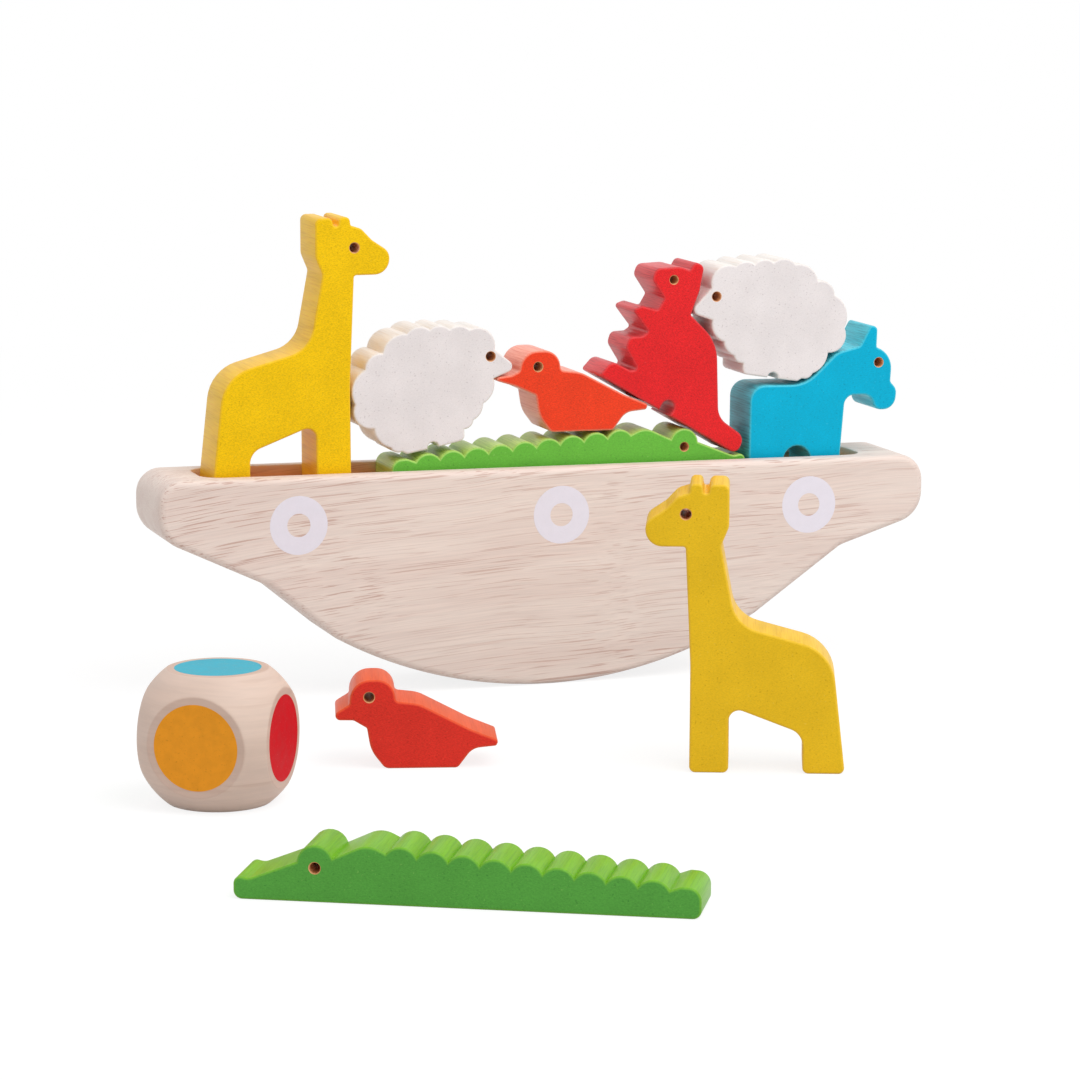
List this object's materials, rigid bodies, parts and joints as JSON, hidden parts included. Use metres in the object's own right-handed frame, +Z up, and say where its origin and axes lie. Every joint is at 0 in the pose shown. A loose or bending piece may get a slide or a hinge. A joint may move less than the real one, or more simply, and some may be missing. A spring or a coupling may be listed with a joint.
{
  "type": "balancing boat toy",
  "caption": "Wooden toy boat with a rounded rocking keel and a shallow tray in which flat painted animals are stacked, with loose animals and a colour die in front",
  "frame": {"origin": "On the table under the boat, on the small flat of the keel that the boat rests on", "axes": "+X along the boat towards the donkey's end, +Y away from the loose pieces, +Z up"},
  "size_m": [0.3417, 0.3766, 0.176],
  "materials": {
    "hull_wood": "smooth bare rubberwood with three printed white rings",
    "yellow_paint": "satin yellow stain paint, grain faintly showing",
    "green_paint": "satin green stain paint, grain faintly showing",
    "blue_paint": "satin blue stain paint, grain faintly showing",
    "white_paint": "satin white stain paint, grain faintly showing",
    "orange_paint": "satin orange-red stain paint, grain faintly showing",
    "red_paint": "satin red stain paint, grain faintly showing",
    "die_wood": "smooth bare rubberwood with one painted dot on each face"
  },
  "bodies": {
    "boat_hull": {"boat_hull": "hull_wood"},
    "giraffe_in_boat": {"giraffe_in_boat": "yellow_paint"},
    "crocodile_in_boat": {"crocodile_in_boat": "green_paint"},
    "donkey_in_boat": {"donkey_in_boat": "blue_paint"},
    "sheep_by_giraffe": {"sheep_by_giraffe": "white_paint"},
    "bird_in_boat": {"bird_in_boat": "orange_paint"},
    "kangaroo_in_boat": {"kangaroo_in_boat": "red_paint"},
    "sheep_on_donkey": {"sheep_on_donkey": "white_paint"},
    "giraffe_on_table": {"giraffe_on_table": "yellow_paint"},
    "bird_on_table": {"bird_on_table": "orange_paint"},
    "crocodile_on_table": {"crocodile_on_table": "green_paint"},
    "colour_die": {"colour_die": "die_wood"}
  },
  "joints": [
    {"name": "giraffe_lift", "type": "slide", "parent": "boat_hull", "child": "giraffe_in_boat", "axis": [0, 0, 1], "range_m": [0, 0.09]},
    {"name": "crocodile_lift", "type": "slide", "parent": "boat_hull", "child": "crocodile_in_boat", "axis": [0.0113, 0, 0.9999], "range_m": [0, 0.012]},
    {"name": "donkey_slide", "type": "slide", "parent": "boat_hull", "child": "donkey_in_boat", "axis": [0.9999, 0, -0.0113], "range_m": [0, 0.006]},
    {"name": "sheep_pull", "type": "slide", "parent": "crocodile_in_boat", "child": "sheep_by_giraffe", "axis": [0, 1, 0], "range_m": [-0.06, 0.06]},
    {"name": "bird_pull", "type": "slide", "parent": "crocodile_in_boat", "child": "bird_in_boat", "axis": [0, 1, 0], "range_m": [-0.06, 0.06]},
    {"name": "kangaroo_lift", "type": "slide", "parent": "crocodile_in_boat", "child": "kangaroo_in_boat", "axis": [-0.5, 0, 0.866], "range_m": [0, 0.08]},
    {"name": "upper_sheep_lift", "type": "slide", "parent": "kangaroo_in_boat", "child": "sheep_on_donkey", "axis": [0.5, 0, 0.866], "range_m": [0, 0.08]},
    {"name": "table_giraffe_lift", "type": "slide", "parent": "boat_hull", "child": "giraffe_on_table", "axis": [0, 0, 1], "range_m": [0, 0.08]},
    {"name": "table_bird_lift", "type": "slide", "parent": "boat_hull", "child": "bird_on_table", "axis": [0, 0, 1], "range_m": [0, 0.08]},
    {"name": "table_crocodile_lift", "type": "slide", "parent": "boat_hull", "child": "crocodile_on_table", "axis": [0, 0, 1], "range_m": [0, 0.08]},
    {"name": "die_lift", "type": "slide", "parent": "boat_hull", "child": "colour_die", "axis": [0, 0, 1], "range_m": [0, 0.08]}
  ]
}
